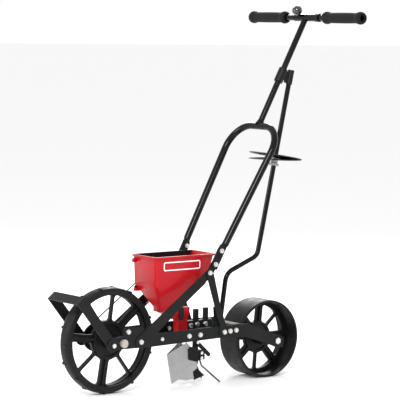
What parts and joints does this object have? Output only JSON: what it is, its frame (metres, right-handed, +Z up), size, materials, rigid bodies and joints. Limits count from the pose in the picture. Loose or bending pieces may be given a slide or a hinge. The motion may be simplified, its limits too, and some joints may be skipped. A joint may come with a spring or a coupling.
{
  "type": "walk-behind row seeder",
  "caption": "Walk-behind garden row seeder with a red seed hopper, spoked front wheel, wide rear press drum, opener shoe, folding stand and T handle.",
  "frame": {"origin": "on the ground, midway along and across the whole machine", "axes": "-X forward (towards the front wheel), -Y the left side with the open window on the drum, +Z up"},
  "size_m": [0.962, 0.554, 1.198],
  "materials": {
    "black_paint": "satin black powder coat, scuffed at edges",
    "wheel_plastic": "moulded black plastic with dust in the corners",
    "black_plastic": "moulded black plastic",
    "gloss_black": "polished black ball",
    "bush_plastic": "black nylon",
    "hopper_red": "moulded red plastic",
    "grip_foam": "foam rubber, fine pores",
    "belt_rubber": "round rubber belt",
    "zinc_steel": "bright zinc plate",
    "galvanised": "galvanised sheet, dull grey"
  },
  "bodies": {
    "frame": {"front_axle": "zinc_steel", "front_axle_spacers": "zinc_steel", "front_axle_caps": "zinc_steel", "rear_axle": "zinc_steel", "rear_axle_spacers": "zinc_steel", "rear_axle_nuts": "zinc_steel", "front_plate_left": "black_paint", "front_plate_right": "black_paint", "side_frame_left": "black_paint", "side_frame_right": "black_paint", "rear_plate_left": "black_paint", "rear_plate_right": "black_paint", "grip_left": "grip_foam", "grip_right": "grip_foam", "stand_bolts": "zinc_steel", "stand_nuts": "zinc_steel", "frame_bolts": "zinc_steel", "frame_nuts": "zinc_steel", "small_bolts": "zinc_steel", "small_nuts": "zinc_steel", "handle_foot_bolts": "zinc_steel", "handle_foot_nuts": "zinc_steel", "handle_loop": "black_paint", "upper_handle": "black_paint", "crossbar": "black_paint", "crossbar_ring": "black_plastic", "brace_tube": "black_paint", "brace_collar": "black_plastic", "plate_stop": "black_plastic", "spare_seed_plates": "black_plastic", "hopper": "hopper_red", "hopper_back_plate": "black_plastic", "hopper_studs": "zinc_steel", "hopper_screws": "zinc_steel", "drive_belt": "belt_rubber", "seed_chute": "hopper_red", "chute_clip": "black_plastic", "cross_block": "black_paint", "clamp_screws": "zinc_steel", "cross_bar": "black_paint", "rear_tie": "black_paint", "side_bracket": "black_paint"},
    "front_wheel": {"front_wheel": "wheel_plastic", "front_wheel_bushes": "bush_plastic", "drive_pulley": "black_plastic"},
    "rear_drum": {"rear_drum": "wheel_plastic", "rear_drum_bushes": "bush_plastic"},
    "seed_drive": {"seed_plate": "black_plastic", "seed_shaft": "zinc_steel", "driven_pulley": "black_plastic"},
    "stand": {"stand": "black_paint"},
    "opener": {"opener_shank": "black_paint", "opener_shoe": "galvanised", "opener_block": "black_paint", "opener_bolts": "zinc_steel", "trailing_arm": "black_paint", "drag_rods": "zinc_steel", "soil_flap": "black_paint"},
    "rear_shank": {"rear_shank": "black_paint"},
    "clamp_knob": {"clamp_knob": "gloss_black"}
  },
  "joints": [
    {"name": "front_wheel_spin", "type": "hinge", "parent": "frame", "child": "front_wheel", "pos_m": [-0.315, 0, 0.165], "axis": [0, 1, 0], "continuous": true},
    {"name": "drum_spin", "type": "hinge", "parent": "frame", "child": "rear_drum", "pos_m": [0.286, 0, 0.125], "axis": [0, 1, 0], "continuous": true},
    {"name": "seed_drive_spin", "type": "hinge", "parent": "frame", "child": "seed_drive", "pos_m": [-0.077, 0, 0.333], "axis": [0, 1, 0], "continuous": true},
    {"name": "stand_swing", "type": "hinge", "parent": "frame", "child": "stand", "pos_m": [-0.3515, 0, 0.161], "axis": [0, -1, 0], "range_deg": [0, 105]},
    {"name": "opener_depth", "type": "slide", "parent": "frame", "child": "opener", "axis": [0, 0, 1], "range_m": [-0.025, 0.015]},
    {"name": "rear_shank_depth", "type": "slide", "parent": "frame", "child": "rear_shank", "axis": [0, 0, 1], "range_m": [-0.03, 0.02]},
    {"name": "clamp_knob_turn", "type": "hinge", "parent": "frame", "child": "clamp_knob", "pos_m": [0.46052, 0.024, 1.15844], "axis": [-0.6, 0, 0.8], "range_deg": [0, 360]}
  ],
  "couplings": [
    {"joint": "seed_drive_spin", "follows": "front_wheel_spin", "ratio": 1}
  ]
}
